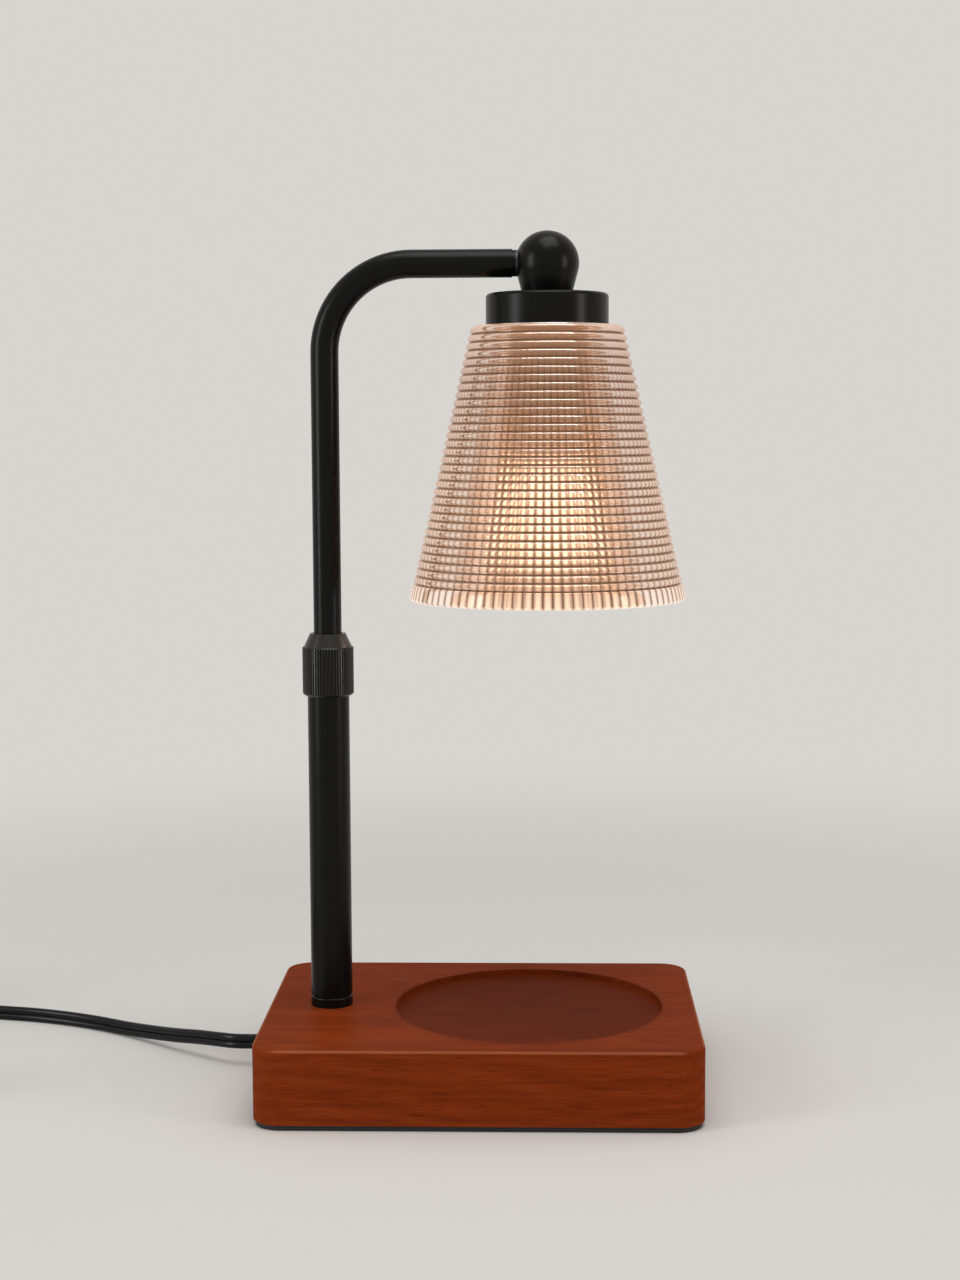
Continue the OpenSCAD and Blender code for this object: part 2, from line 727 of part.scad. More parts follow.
// Hollow stub in the arm's end, with the shoulder and the spindle that the ball turns on
module pivot_neck() {
    color("black") translate([arm_end_x, 0, arm_z]) rotate([0, 90, 0]) rotate_extrude() polygon([
        [spindle_bore_r, -arm_plug_len], [upper_bore_r - seat, -arm_plug_len], [upper_bore_r - seat, 0],
        [neck_r2, 0], [neck_r2, neck_len], [spindle_r, neck_len],
        [spindle_r, spindle_end_x - arm_end_x], [spindle_bore_r, spindle_end_x - arm_end_x]
    ]);
}

module neck_washer() {
    color("gray") translate([shoulder_x, 0, arm_z]) rotate([0, 90, 0])
        ring(neck_r2, spindle_r + seat, washer_t);
}

module pivot_clip() {
    color("silver") translate([clip_x, 0, arm_z]) rotate([0, 90, 0]) ring(clip_r, spindle_r + seat, clip_t);
}

module cord_in_arm() {
    color("black") {
        translate([post_x, 0, arm_foot_z - bush_lip])
            linear_extrude(bend_z - arm_foot_z + bush_lip) cord_section();
        translate([bend_x, 0, bend_z]) rotate([90, 0, 0]) rotate(90)
            rotate_extrude(angle = 90) translate([bend_r, 0]) cord_section();
        translate([bend_x, 0, arm_z]) rotate([0, 90, 0])
            linear_extrude(head_x - cord_half_t - free_gap - bend_x) cord_section();
    }
}

// ---------- head ----------

module ball_knuckle() {
    color("black") difference() {
        union() {
            translate([head_x, 0, arm_z]) sphere(r = ball_r);
            translate([head_x, 0, cap_top])
                cylinder(r1 = seat_r, r2 = ball_r * cos(16), h = arm_z - ball_r * sin(16) - cap_top);
        }
        translate([head_x, 0, arm_z]) sphere(r = cavity_r);
        translate([head_x, 0, cap_top - past]) cylinder(r = stud_r + seat, h = arm_z - cap_top);
        translate([head_x - ball_r - past, 0, arm_z]) rotate([0, 90, 0])
            cylinder(r = spindle_r + running, h = ball_r);
        translate([head_x - ball_r - past, 0, arm_z]) rotate([0, 90, 0])
            cylinder(r = neck_r2 + running, h = past + ball_r - ball_flat);
    }
}

module head_stud() {
    color("silver") translate([head_x, 0, head_stud_foot])
        ring(stud_r, stud_bore_r, head_stud_top - head_stud_foot);
}

module head_nut() {
    color("silver") translate([head_x, 0, cap_ceiling - head_nut_h])
        hex_nut(head_nut_af, stud_r + seat, head_nut_h);
}

module shade_cap() {
    color("black") translate([head_x, 0, cap_foot]) difference() {
        union() {
            cylinder(d = cap_d, h = cap_h - cap_edge_r);
            cylinder(r = cap_d / 2 - cap_edge_r, h = cap_h);
            translate([0, 0, cap_h - cap_edge_r])
                rotate_extrude() translate([cap_d / 2 - cap_edge_r, 0]) circle(r = cap_edge_r, $fn = 32);
        }
        translate([0, 0, -past]) cylinder(r = cap_d / 2 - cap_wall, h = cap_h - cap_wall + past);
        cylinder(r = stud_r + seat, h = cap_h + past);
    }
}

// Section of the glass: top plate, ribbed wall and plain rim
module glass_section() {
    rim_top = glass_foot + rim_h;
    polygon([
        [glass_hole_r, glass_top], [over_ribs(top_rib_z) - rib_r, glass_top],
        [under_ribs(top_rib_z) - 0.2, top_rib_z + 0.9], [under_ribs(top_rib_z), top_rib_z],
        [under_ribs(rim_top), rim_top], [over_ribs(rim_top - 0.6), rim_top - 0.6],
        [over_ribs(glass_foot + 0.9), glass_foot + 0.9], [over_ribs(glass_foot) - 0.9, glass_foot],
        [inner_wall(glass_foot), glass_foot], [inner_wall(glass_ceiling), glass_ceiling],
        [glass_hole_r, glass_ceiling]
    ]);
}

module glass_shade() {
    color("mistyrose") translate([head_x, 0, 0]) {
        rotate_extrude() glass_section();
        for (i = [0 : rib_n - 1])
            let (z = top_rib_z - i * rib_pitch)
            rotate_extrude() translate([over_ribs(z) - rib_r, z]) circle(r = rib_r);
    }
}

module shade_ring() {
    color("dimgray") translate([head_x, 0, glass_ceiling - gasket_t - ring_h]) difference() {
        linear_extrude(ring_h) ridged_outline(ring_d, 24, 0.8);
        translate([0, 0, -past]) cylinder(r = holder_r + seat, h = ring_h + 2 * past);
    }
}

module shade_gasket() {
    color("white") translate([head_x, 0, glass_ceiling - gasket_t])
        ring(ring_d / 2 + 0.5, holder_r + 0.3, gasket_t);
}

module lamp_holder() {
    color("gray") translate([head_x, 0, holder_foot]) difference() {
        cylinder(r = holder_r, h = holder_top - holder_foot);
        translate([0, 0, -past])
            cylinder(r = holder_r - holder_wall, h = holder_top - holder_foot - holder_wall + past);
        cylinder(r = stud_r + seat, h = holder_top - holder_foot + past);
    }
}

insert_screw_y = 9;
insert_screw_d = 2.6;

module socket_insert() {
    color("ivory") translate([head_x, 0, insert_foot]) difference() {
        cylinder(r = insert_r, h = insert_h);
        for (side = [-1, 1]) {
            translate([side * pin_gap / 2, 0, -past]) cylinder(r = pin_head_r + free_gap, h = 12);
            translate([0, side * insert_screw_y, -past])
                cylinder(d = insert_screw_d + 2 * seat, h = insert_h + 2 * past);
        }
        translate([0, 0, insert_h - 6]) cylinder(r = 7, h = 6 + past);
    }
}

// Spring contacts at the bottom of the two pin holes
module socket_contacts() {
    color("gold") for (side = [-1, 1])
        translate([head_x + side * pin_gap / 2, 0, insert_foot + 9]) cylinder(r = 2, h = 2);
}

module insert_screws() {
    color("silver") for (side = [-1, 1])
        translate([head_x, side * insert_screw_y, insert_foot + 0.2])
            cylinder(d = insert_screw_d, h = insert_h + 3);
}

module bulb_base() {
    color("white") translate([head_x, 0, 0]) difference() {
        rotate_extrude() polygon([
            [0, lamp_back], [lamp_neck_r - 0.8, lamp_back], [lamp_neck_r, lamp_back - 1],
            [lamp_neck_r + 1.2, lamp_neck_z], [0, lamp_neck_z]
        ]);
        for (side = [-1, 1])
            translate([side * pin_gap / 2, 0, lamp_back - 3]) cylinder(r = pin_r + seat, h = 3 + past);
        translate([0, 0, lamp_neck_z - past]) cylinder(r = stem_r + seat, h = stem_seat + past);
    }
}

// Outline of the reflector's bowl, from its neck to its rim, at share s of its depth
bowl_depth = lamp_neck_z - lamp_front - lens_t;
function bowl_r(s) = lamp_neck_r + 1.2 + (lamp_r - lamp_neck_r - 2.2) * pow(s, 0.62);

module bulb_reflector() {
    color("lightgray") translate([head_x, 0, 0]) rotate_extrude() polygon(concat(
        [for (s = [0 : 0.125 : 1]) [bowl_r(s), lamp_neck_z - s * bowl_depth]],
        [[lamp_r, lamp_front + lens_t], [lamp_r, lamp_front + 0.6], [lamp_r - 1, lamp_front],
         [lamp_r - 1.2, lamp_front], [lamp_r - 1.2, lamp_front + lens_t]],
        [for (s = [1 : -0.125 : 0.125]) [bowl_r(s) - 1.6, lamp_neck_z - s * bowl_depth]],
        [[6, lamp_neck_z - 1.8], [6, lamp_neck_z]]
    ));
}

module bulb_lens() {
    color("lightcyan") translate([head_x, 0, lamp_front + 0.2])
        cylinder(r = lamp_r - 1.2 - seat, h = lens_t - 0.2);
}

// Halogen capsule on its stem, inside the reflector
module bulb_capsule() {
    color("lightyellow") translate([head_x, 0, 0]) {
        translate([0, 0, capsule_z]) cylinder(r = capsule_r, h = capsule_len);
        translate([0, 0, capsule_z]) sphere(r = capsule_r);
        translate([0, 0, capsule_z + capsule_len])
            cylinder(r = stem_r, h = lamp_neck_z + stem_seat - capsule_z - capsule_len);
    }
}

module bulb_pins() {
    color("silver") for (side = [-1, 1])
        translate([head_x + side * pin_gap / 2, 0, lamp_back - 3]) {
            cylinder(r = pin_r, h = pin_len + 3);
            translate([0, 0, pin_len + 3 - pin_head_h]) cylinder(r = pin_head_r, h = pin_head_h);
        }
}

module cord_in_head() {
    color("black") translate([head_x, 0, insert_foot + insert_h - 5.8])
        linear_extrude(arm_z + cord_half_t - insert_foot - insert_h + 5.8) cord_section();
}

// ---------- mains cord, dimmer and plug ----------

module cord_lead() {
    color("black") swept_cord(lead_route, section_10, [for (p = lead_route) 0]);
}

module dimmer_shape(inset) {
    translate([dimmer_x, dimmer_y])
        round_rect(dimmer_len - 2 * inset, dimmer_w - 2 * inset, dimmer_corner_r - inset);
}

// Hole for the cord at both ends of the dimmer
module dimmer_cord_hole() {
    translate([dimmer_x - dimmer_len / 2 - past, dimmer_y, dimmer_mid_z]) rotate([0, 90, 0]) rotate(90)
        linear_extrude(dimmer_len + 2 * past) cord_section(running);
}

dimmer_screw_x = 22;
dimmer_screw_y = 7;
dimmer_screw_d = 2.5;
dimmer_boss_r = 2.8;

module at_dimmer_screws() {
    for (side = [-1, 1])
        translate([dimmer_x + side * dimmer_screw_x, dimmer_y - side * dimmer_screw_y, 0]) children();
}

module dimmer_case_lower() {
    color("black") difference() {
        union() {
            difference() {
                linear_extrude(split_z) dimmer_shape(0);
                translate([0, 0, dimmer_wall]) linear_extrude(split_z) dimmer_shape(dimmer_wall);
            }
            at_dimmer_screws() cylinder(r = dimmer_boss_r, h = split_z);
        }
        dimmer_cord_hole();
        at_dimmer_screws() {
            translate([0, 0, -past]) cylinder(d = dimmer_screw_d + 2 * seat, h = split_z + 2 * past);
            translate([0, 0, -past]) cylinder(d = 5.4, h = past + 1.8);
        }
    }
}

module dimmer_case_upper() {
    color("black") difference() {
        union() {
            difference() {
                translate([0, 0, split_z]) linear_extrude(dimmer_h - split_z - 1) dimmer_shape(0);
                translate([0, 0, split_z - past])
                    linear_extrude(dimmer_h - split_z - dimmer_wall + past) dimmer_shape(dimmer_wall);
            }
            translate([0, 0, dimmer_h - dimmer_wall]) linear_extrude(dimmer_wall) dimmer_shape(1);
            at_dimmer_screws() translate([0, 0, split_z])
                cylinder(r = dimmer_boss_r, h = dimmer_h - split_z - 1);
        }
        dimmer_cord_hole();
        translate([dimmer_x, dimmer_y, wheel_z]) rotate([90, 0, 0])
            cylinder(r = wheel_d / 2 + free_gap, h = wheel_w + 2 * free_gap, center = true);
        at_dimmer_screws() translate([0, 0, split_z - past])
            cylinder(d = dimmer_screw_d + 2 * seat, h = 6 + past);
    }
}

module dimmer_screws() {
    color("silver") at_dimmer_screws() {
        cylinder(d = 5, h = 1.6);
        cylinder(d = dimmer_screw_d, h = split_z + 5);
    }
}

board_z = 3.4;
board_t = 1.2;
pot_gap = 0.4;
pot_t = 4;
wheel_shaft_r = 2;

module dimmer_board() {
    color("darkgreen") translate([dimmer_x, dimmer_y, board_z]) difference() {
        translate([-18, -10.5, 0]) cube([36, 21, board_t]);
        translate([-wheel_d / 2 - 1, -wheel_w / 2 - 1, -past])
            cube([wheel_d + 2, wheel_w + 2, board_t + 2 * past]);
        at_board_corners() cube([9, 9, 4 * board_t], center = true);
    }
}

module at_board_corners() {
    for (side = [-1, 1]) translate([side * dimmer_screw_x, -side * dimmer_screw_y, 0]) children();
}

module dimmer_pot() {
    color("dimgray") translate([dimmer_x, dimmer_y + wheel_w / 2 + pot_gap, 0]) difference() {
        translate([-5, 0, board_z + board_t]) cube([10, pot_t, wheel_z + 4.5 - board_z - board_t]);
        translate([0, -past, wheel_z]) rotate([-90, 0, 0])
            cylinder(r = wheel_shaft_r + running, h = pot_t + 2 * past);
    }
}

module dimmer_wheel() {
    color("dimgray") translate([dimmer_x, dimmer_y, wheel_z]) rotate([-90, 0, 0]) {
        translate([0, 0, -wheel_w / 2]) linear_extrude(wheel_w) ridged_outline(wheel_d, wheel_n, 0.5);
        cylinder(r = wheel_shaft_r, h = wheel_w / 2 + pot_gap + pot_t);
    }
}

module cord_run() {
    color("black") swept_cord(run_route, section_10, [for (p = run_route) 0]);
}

// Coil: the turns spiral in on the lower layer, climb in the half turn where the spiral reverses,
// and spiral out again on the upper layer
function climb(t) =
    let (x = min(1, max(0, (t - coil_turns / 2 + 0.25) / 0.5)))
    x * x * (3 - 2 * x);
function coil_point(t) =
    let (a = coil_start_deg + 360 * t,
         r = coil_inner_r + coil_pitch * abs(t - coil_turns / 2),
         lift = tie_lift * pow(max(0, cos(a)), 2))
    [coil_centre[0] + r * cos(a), coil_centre[1] + r * sin(a), lie_z + lift + coil_layer * climb(t)];
coil_steps = coil_turns * loop_rings;
coil_route = concat(
    [run_route[len(run_route) - 1]],
    [for (i = [0 : coil_steps]) coil_point(i / loop_rings)],
    [tail_route[0]]
);
// Least distance between the section's points on rings that are over half a turn apart
function least_gap() =
    let (rings = [for (i = [0 : len(coil_route) - 1]) ring_at(coil_route, i, section_6, 0)])
    min([
        for (i = [0 : len(rings) - 1],
             j = [i + loop_rings / 2 : 1 : min(len(rings) - 1, i + loop_rings * 3.5)])
            if (norm(coil_route[i] - coil_route[j]) < 3 * cord_w)
                min([for (p = rings[i], q = rings[j]) norm(p - q)])
    ]);

module cord_coil() {
    echo(least_gap_of_the_coil_to_itself = least_gap());
    color("black") swept_cord(coil_route, section_6, [for (p = coil_route) 0]);
}

// Band round the coil's turns, on the side of its centre that faces +X
module cord_tie() {
    inner = coil_inner_r - coil_pitch * 0.2 - cord_half_t - 0.4;
    outer = coil_outer_r + cord_half_t - 0.2;
    top = 2 * lie_z + coil_layer + tie_lift + 0.4;
    color("dimgray")
        translate([coil_centre[0] + (inner + outer) / 2, coil_centre[1] + tie_w / 2, top / 2 + tie_t / 2])
        rotate([90, 0, 0]) linear_extrude(tie_w) difference() {
            round_rect(outer - inner + 2 * tie_t, top + tie_t, 2.4);
            round_rect(outer - inner, top - tie_t, 1.6);
        }
}

module cord_tail() {
    n = len(tail_route) - 1;
    color("black") swept_cord(tail_route, section_10, [for (i = [0 : n]) 90 * i / n]);
}

// Moulded plug: ribbed relief and a body that narrows towards the cord
module plug_body() {
    x0 = tail_route[len(tail_route) - 1][0];
    color("black") translate([x0, tail_y, plug_mid_z]) difference() {
        union() {
            rotate([0, 90, 0]) cylinder(r1 = 4.2, r2 = 5.6, h = plug_relief_len);
            for (i = [0 : 3])
                translate([4 + i * 4.6, 0, 0]) rotate([0, 90, 0]) cylinder(r = 5.4 + i * 0.3, h = 2.2);
            translate([plug_relief_len, 0, -plug_h / 2]) linear_extrude(plug_h) polygon([
                [0, -plug_w / 2 + 5], [5, -plug_w / 2], [plug_len_body - 2, -plug_w / 2],
                [plug_len_body, -plug_w / 2 + 2], [plug_len_body, plug_w / 2 - 2],
                [plug_len_body - 2, plug_w / 2],
                [5, plug_w / 2], [0, plug_w / 2 - 5]
            ]);
        }
        for (side = [-1, 1])
            translate([plug_relief_len + plug_len_body - 8, side * blade_gap / 2 - blade_t / 2 - seat,
                -blade_w / 2 - seat])
                cube([8 + past, blade_t + 2 * seat, blade_w + 2 * seat]);
    }
}

module plug_blades() {
    x0 = tail_route[len(tail_route) - 1][0] + plug_relief_len + plug_len_body;
    color("gold") for (side = [-1, 1])
        translate([x0 - 7.9, tail_y + side * blade_gap / 2, plug_mid_z]) difference() {
            translate([0, -blade_t / 2, -blade_w / 2]) cube([blade_len + 7.9, blade_t, blade_w]);
            translate([blade_len + 7.9 - 3.6, -blade_t, 0]) rotate([-90, 0, 0])
                cylinder(r = 1.5, h = 2 * blade_t);
        }
}

wood_base();
base_pad();
bottom_plate();
plate_screws();
foot_ring();
lower_tube();
tube_plug();
post_stud();
post_washer();
post_nut();
tube_ferrule();
strain_relief();
cord_clamp();
clamp_screw();
cord_in_base();
cord_in_post();
lock_collar();
clamp_sleeve();
arm_tube();
guide_bush();
pivot_neck();
neck_washer();
pivot_clip();
cord_in_arm();
ball_knuckle();
head_stud();
head_nut();
shade_cap();
glass_shade();
shade_ring();
shade_gasket();
lamp_holder();
socket_insert();
socket_contacts();
insert_screws();
bulb_base();
bulb_reflector();
bulb_lens();
bulb_capsule();
bulb_pins();
cord_in_head();
cord_lead();
dimmer_case_lower();
dimmer_case_upper();
dimmer_screws();
dimmer_board();
dimmer_pot();
dimmer_wheel();
cord_run();
cord_coil();
cord_tie();
cord_tail();
plug_body();
plug_blades();
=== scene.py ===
# Candle warmer lamp: finishes, glass, cords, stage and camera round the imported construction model.
# Metres, in the model's own frame: +Z up, the camera looks along +Y. Only the cord's route is in
# millimetres.
import math

import bpy
from mathutils import Matrix, Vector


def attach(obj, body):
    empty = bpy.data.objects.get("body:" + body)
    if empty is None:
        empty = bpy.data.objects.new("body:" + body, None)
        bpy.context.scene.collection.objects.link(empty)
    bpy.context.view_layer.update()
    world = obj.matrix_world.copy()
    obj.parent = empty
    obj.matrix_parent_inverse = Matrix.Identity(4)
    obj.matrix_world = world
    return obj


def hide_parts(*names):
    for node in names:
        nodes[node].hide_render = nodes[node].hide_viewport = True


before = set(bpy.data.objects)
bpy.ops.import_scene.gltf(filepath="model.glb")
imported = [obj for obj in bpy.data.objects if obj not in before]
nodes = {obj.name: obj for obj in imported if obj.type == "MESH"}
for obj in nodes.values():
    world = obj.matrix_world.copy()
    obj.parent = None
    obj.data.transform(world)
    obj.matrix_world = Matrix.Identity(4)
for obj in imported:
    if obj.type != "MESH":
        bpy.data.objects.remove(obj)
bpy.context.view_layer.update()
MM = 0.001


# ---------- camera ----------

CAMERA_AT = Vector((22.42, -736.19, 236.94)) * MM
YAW = math.radians(1.763)
PITCH = math.radians(5.838)
ROLL = math.radians(-0.26)
LENS_MM = 58.02
SENSOR_MM = 36


def make_camera():
    """Camera at the photograph's viewing angle: yaw to the left, pitch down, a slight roll."""
    forward = Vector((-math.sin(YAW) * math.cos(PITCH), math.cos(YAW) * math.cos(PITCH), -math.sin(PITCH)))
    level = Vector((math.cos(YAW), math.sin(YAW), 0))
    rise = level.cross(forward)
    right = level * math.cos(ROLL) + rise * math.sin(ROLL)
    up = rise * math.cos(ROLL) - level * math.sin(ROLL)
    data = bpy.data.cameras.new("camera")
    data.lens = LENS_MM
    data.sensor_width = SENSOR_MM
    data.clip_start = 0.01
    camera = bpy.data.objects.new("camera", data)
    turn = Matrix((right, up, -forward)).transposed()
    camera.matrix_world = Matrix.Translation(CAMERA_AT) @ turn.to_4x4()
    bpy.context.scene.collection.objects.link(camera)
    bpy.context.scene.camera = camera


# ---------- material helpers ----------

# A Mix node's sockets for its share and its two colours, and its colour result.
MIX_INPUTS = (0, 6, 7)
MIX_OUTPUT = 2


class Finish:
    """A material with its shader, its coordinates and short ways to add nodes."""

    def __init__(self, name, color, roughness, **sockets):
        self.material = bpy.data.materials.new(name)
        self.material.use_nodes = True
        self.tree = self.material.node_tree
        self.shader = self.tree.nodes["Principled BSDF"]
        self.place = self.tree.nodes.new("ShaderNodeTexCoord").outputs["Object"]
        self.set("Base Color", (*color, 1))
        self.set("Roughness", roughness)
        for socket, value in sockets.items():
            self.set(socket.replace("_", " "), value)

    def set(self, socket, value):
        """Sets one of the shader's own sockets."""
        self.shader.inputs[socket].default_value = value

    def link(self, source, socket):
        """Links an output to one of the shader's sockets."""
        self.tree.links.new(source, self.shader.inputs[socket])

    def node(self, kind, inputs=(), **settings):
        """A new node; an input is a number, a vector or another node's output."""
        made = self.tree.nodes.new(kind)
        for key, value in settings.items():
            setattr(made, key, value)
        for key, value in dict(inputs).items():
            if isinstance(value, bpy.types.NodeSocket):
                self.tree.links.new(value, made.inputs[key])
            else:
                made.inputs[key].default_value = value
        return made

    def noise(self, scale, detail, rough, shift=(0, 0, 0)):
        """Noise with features 1 / scale metres long, along each axis."""
        scale = (scale,) * 3 if isinstance(scale, (int, float)) else scale
        place = self.node("ShaderNodeMapping", {"Vector": self.place, "Scale": scale, "Location": shift})
        inputs = {"Vector": place.outputs["Vector"], "Scale": 1.0, "Detail": detail, "Roughness": rough}
        return self.node("ShaderNodeTexNoise", inputs).outputs["Fac"]

    def ramp(self, source, stops, interpolation="LINEAR"):
        """Colour ramp: stops are (position, colour or grey)."""
        made = self.node("ShaderNodeValToRGB", {"Fac": source})
        band = made.color_ramp
        band.interpolation = interpolation
        while len(band.elements) < len(stops):
            band.elements.new(0.5)
        for element, (position, value) in zip(band.elements, stops):
            element.position = position
            element.color = (value, value, value, 1) if isinstance(value, (int, float)) else (*value, 1)
        return made.outputs["Color"]

    def mix(self, share, first, second):
        """Mix of two colours or sockets."""
        made = self.node("ShaderNodeMix", data_type="RGBA")
        for index, value in zip(MIX_INPUTS, (share, first, second)):
            if isinstance(value, bpy.types.NodeSocket):
                self.tree.links.new(value, made.inputs[index])
            else:
                made.inputs[index].default_value = (*value, 1) if isinstance(value, tuple) else value
        return made.outputs[MIX_OUTPUT]

    def math(self, operation, first, second=0.0, third=0.0, clamp=False):
        """Sum on numbers or sockets; MULTIPLY_ADD is first * second + third."""
        made = self.node("ShaderNodeMath", operation=operation, use_clamp=clamp)
        for index, value in enumerate((first, second, third)):
            if isinstance(value, bpy.types.NodeSocket):
                self.tree.links.new(value, made.inputs[index])
            else:
                made.inputs[index].default_value = value
        return made.outputs[0]

    def spread(self, source, low, high):
        """Source, from 0 to 1, spread over low to high."""
        return self.math("MULTIPLY_ADD", source, high - low, low)

    def bump(self, height, depth, strength):
        """Relief of depth metres where height goes from 0 to 1."""
        inputs = {"Height": height, "Distance": depth, "Strength": strength}
        return self.node("ShaderNodeBump", inputs).outputs["Normal"]


def srgb(*values):
    """Linear colour of an sRGB colour with channels from 0 to 255."""
    return tuple((v / 255 / 12.92) if v <= 10 else ((v / 255 + 0.055) / 1.055) ** 2.4 for v in values)


# ---------- finishes ----------

BLOCK_HALF_W = 77.5 * MM
BLOCK_HALF_D = 59.0 * MM
EDGE_INSET = 1.1 * MM
EDGE_Z = 27.1 * MM
EDGE_FADE = 1 * MM
RECESS_X = 17 * MM
RECESS_R = 48.5 * MM
RECESS_FADE = 4 * MM
# From the axis of the wood's rings to the origin.
RINGS_SHIFT = (0, 0.03, 0.14)


def wood_finish():
    """Varnished reddish wood whose fine grain runs from left to right through the block."""
    f = Finish("wood", srgb(122, 49, 19), 0.45, Specular_IOR_Level=0.006)
    drift = f.noise((7, 30, 30), 3, 0.5)
    sway = f.node("ShaderNodeCombineXYZ", {
        "Y": f.spread(drift, -0.010, 0.010),
        "Z": f.spread(drift, -0.022, 0.022),
    }).outputs[0]
    bent = f.node("ShaderNodeVectorMath", {0: f.place, 1: RINGS_SHIFT}, operation="ADD").outputs[0]
    bent = f.node("ShaderNodeVectorMath", {0: bent, 1: sway}, operation="ADD").outputs[0]
    wave = {
        "Vector": bent,
        "Scale": 48.0,
        "Distortion": 1.2,
        "Detail": 3.0,
        "Detail Scale": 0.8,
        "Detail Roughness": 0.6,
    }
    rings = f.node("ShaderNodeTexWave", wave, wave_type="RINGS", rings_direction="X").outputs["Fac"]
    streaks = f.noise((16, 420, 420), 4, 0.6)
    fibres = f.noise((55, 1500, 1500), 4, 0.62, shift=(3, 1, 2))
    patches = f.noise((9, 22, 30), 3, 0.5, shift=(5, 2, 8))
    pores = f.ramp(f.noise((150, 3600, 3600), 2, 0.5, shift=(1, 7, 3)), [(0.58, 0.0), (0.68, 1.0)])
    tone = f.math("MULTIPLY", rings, 0.10)
    for layer, share in ((streaks, 0.42), (fibres, 0.42), (patches, 0.22)):
        tone = f.math("MULTIPLY_ADD", layer, share, tone)
    color = f.ramp(tone, [
        (0.38, srgb(104, 40, 15)),
        (0.56, srgb(119, 47, 18)),
        (0.68, srgb(129, 53, 21)),
        (0.86, srgb(144, 63, 27)),
    ])
    color = f.mix(f.math("MULTIPLY", pores, 0.4), color, srgb(40, 14, 8))
    # The recess is darker: partly the wood's own tone, partly a painted shadow.
    color = f.mix(f.math("MULTIPLY", recess_tone_and_shadow(f), 0.44), color, srgb(46, 15, 6))
    # A painted highlight: a pale band along the rounding of the top edge.
    f.link(f.mix(f.math("MULTIPLY", painted_edge_highlight(f), 0.4), color, srgb(214, 150, 108)), "Base Color")
    f.link(f.spread(streaks, 0.36, 0.50), "Roughness")
    relief = f.math("SUBTRACT", f.math("MULTIPLY", fibres, 0.4), pores)
    f.link(f.bump(relief, 0.00004, 0.45), "Normal")
    return f.material


def recess_tone_and_shadow(f):
    """1 in the recess, fading over its rim: darker wood there, part its own tone, part painted shadow."""
    flat = f.node("ShaderNodeVectorMath", {0: f.place, 1: (1, 1, 0)}, operation="MULTIPLY").outputs[0]
    centre = (RECESS_X, 0, 0)
    away = f.node("ShaderNodeVectorMath", {0: flat, 1: centre}, operation="DISTANCE").outputs["Value"]
    return f.math("MULTIPLY_ADD", away, -1 / RECESS_FADE, RECESS_R / RECESS_FADE + 0.5, clamp=True)


def painted_edge_highlight(f):
    """1 on the rounding of the block's top edge, where a painted highlight goes, 0 elsewhere."""
    at = f.node("ShaderNodeSeparateXYZ", {0: f.place}).outputs
    across = f.math("SUBTRACT", f.math("ABSOLUTE", at["X"]), BLOCK_HALF_W)
    along = f.math("SUBTRACT", f.math("ABSOLUTE", at["Y"]), BLOCK_HALF_D)
    out = f.math("MAXIMUM", across, along)
    outside = f.math("MULTIPLY_ADD", out, 1 / EDGE_FADE, EDGE_INSET / EDGE_FADE, clamp=True)
    high = f.math("MULTIPLY_ADD", at["Z"], 1 / EDGE_FADE, -EDGE_Z / EDGE_FADE, clamp=True)
    return f.math("MULTIPLY", outside, high, clamp=True)


def black_metal_finish(name, grey, low, high, gloss):
    """Satin black powder coat: very fine grain and a slightly uneven roughness, from low to high."""
    f = Finish(name, (grey, grey, grey), 0.3, Specular_IOR_Level=gloss)
    cloud = f.noise(45, 3, 0.6)
    f.link(f.mix(cloud, (grey * 0.8,) * 3, (grey * 1.25, grey * 1.22, grey * 1.2)), "Base Color")
    f.link(f.spread(f.noise(160, 4, 0.65), low, high), "Roughness")
    f.link(f.bump(f.noise(2600, 2, 0.5), 0.00003, 0.35), "Normal")
    return f.material


def plated_finish(name, color, rough):
    """Bare or plated metal, brushed along Z."""
    f = Finish(name, color, rough, Metallic=1.0)
    strokes = f.noise((900, 900, 60), 3, 0.6)
    f.link(f.mix(strokes, tuple(c * 0.82 for c in color), color), "Base Color")
    f.link(f.spread(strokes, rough - 0.08, rough + 0.1), "Roughness")
    f.link(f.bump(strokes, 0.00002, 0.3), "Normal")
    return f.material


def plastic_finish(name, color, rough, grain=1500, depth=0.00003, **sockets):
    """Moulded plastic or rubber with a fine grain."""
    f = Finish(name, color, rough, **sockets)
    f.link(f.mix(f.noise(60, 2, 0.5), tuple(c * 0.88 for c in color), color), "Base Color")
    f.link(f.spread(f.noise(300, 3, 0.6), rough - 0.05, rough + 0.06), "Roughness")
    f.link(f.bump(f.noise(grain, 3, 0.6), depth, 0.5), "Normal")
    return f.material


# The glass's painted glow changes with height over this range.
PAINTED_GLOW_LOW = 175 * MM
PAINTED_GLOW_SPAN = 100 * MM


